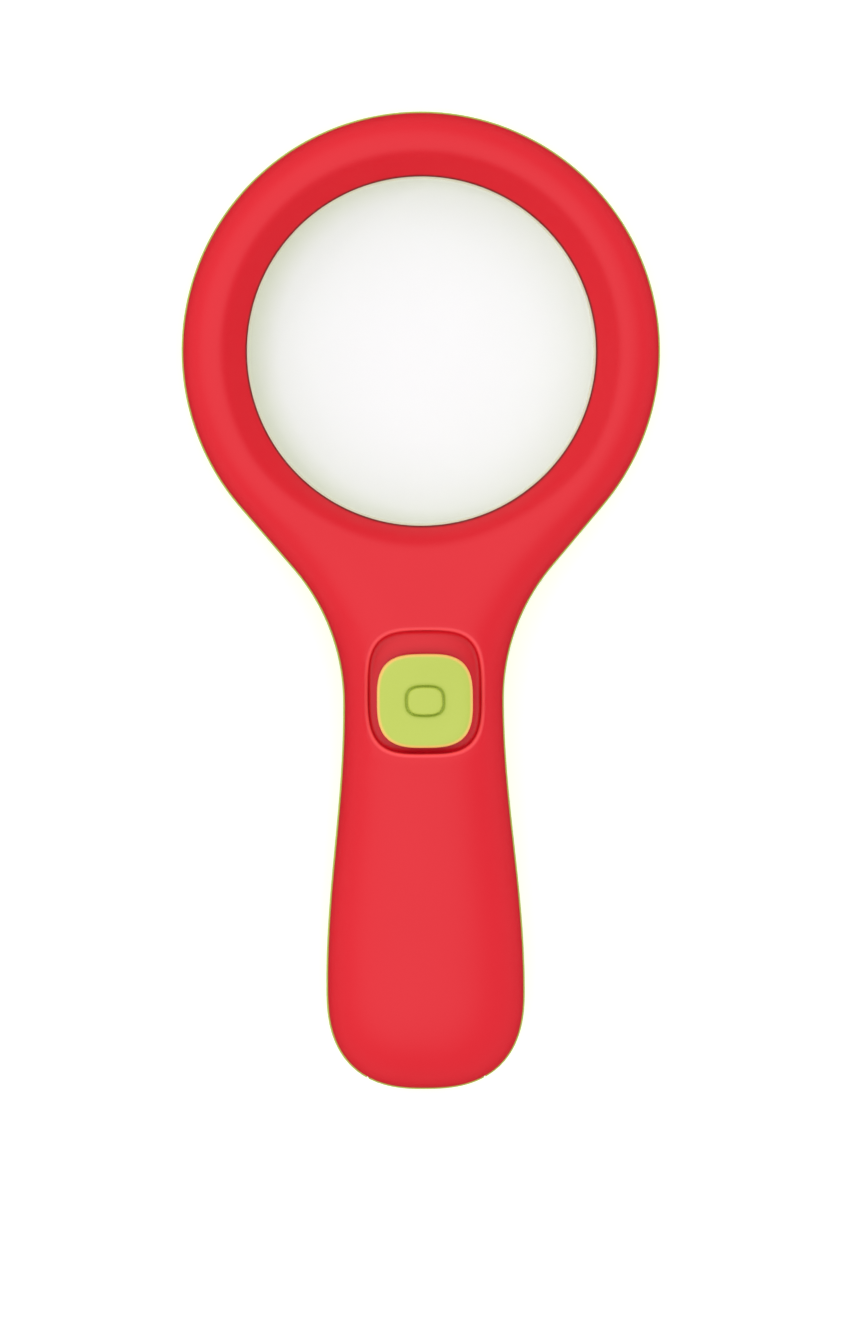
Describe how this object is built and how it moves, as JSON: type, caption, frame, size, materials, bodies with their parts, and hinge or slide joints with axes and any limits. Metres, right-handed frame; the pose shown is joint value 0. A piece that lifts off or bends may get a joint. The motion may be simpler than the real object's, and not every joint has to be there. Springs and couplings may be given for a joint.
{
  "type": "low vision magnifier",
  "caption": "Hand-held lit magnifier: a round lens in a two-part plastic body whose handle holds a slide switch, lamps and batteries behind a sliding door.",
  "frame": {"origin": "middle of the overall box on the plane that the back lies on", "axes": "+Y along the handle towards the lens end, +Z out of the front with the switch, parallel to the lens axis, +X to the right seen from the front"},
  "size_m": [0.091, 0.186, 0.0237],
  "materials": {
    "red_shell": "satin moulded plastic with a fine grain, bright red",
    "lime_plastic": "satin moulded plastic, lime green",
    "clear_lens": "clear polished acrylic",
    "cream_seal": "soft cream ring",
    "black_plastic": "black moulded plastic",
    "zinc_steel": "zinc plated steel",
    "green_board": "green solder mask on fibreglass",
    "led_epoxy": "clear epoxy over a pale yellow chip",
    "tan_resistor": "lacquered, with colour bands",
    "battery_wrap": "dark plastic wrap over a metal can",
    "nickel": "nickel plated spring steel",
    "red_wire": "smooth insulation",
    "black_wire": "smooth insulation"
  },
  "bodies": {
    "body": {"front_shell": "red_shell", "back_shell": "lime_plastic", "lens": "clear_lens", "lens_seal": "cream_seal", "led_window": "clear_lens", "switch_body": "zinc_steel", "battery_tray": "black_plastic", "circuit_board": "green_board", "case_screw_1": "zinc_steel", "case_screw_2": "zinc_steel", "case_screw_3": "zinc_steel", "case_screw_4": "zinc_steel", "case_screw_5": "zinc_steel", "case_screw_6": "zinc_steel", "board_screw_left": "zinc_steel", "board_screw_right": "zinc_steel", "led_left": "led_epoxy", "led_middle": "led_epoxy", "led_right": "led_epoxy", "resistor": "tan_resistor", "battery_left": "battery_wrap", "battery_right": "battery_wrap", "positive_plate": "nickel", "negative_plate": "nickel", "bridge_plate": "nickel", "spring_front": "nickel", "spring_end": "nickel", "lead_positive": "red_wire", "lead_negative": "black_wire"},
    "switch_slider": {"slide_button": "lime_plastic", "switch_lever": "black_plastic"},
    "battery_door": {"battery_door": "lime_plastic"}
  },
  "joints": [
    {"name": "switch_slide", "type": "slide", "parent": "body", "child": "switch_slider", "axis": [0, 1, 0], "range_m": [0, 0.0032]},
    {"name": "door_slide", "type": "slide", "parent": "body", "child": "battery_door", "axis": [0, -1, 0], "range_m": [0, 0.046]}
  ]
}
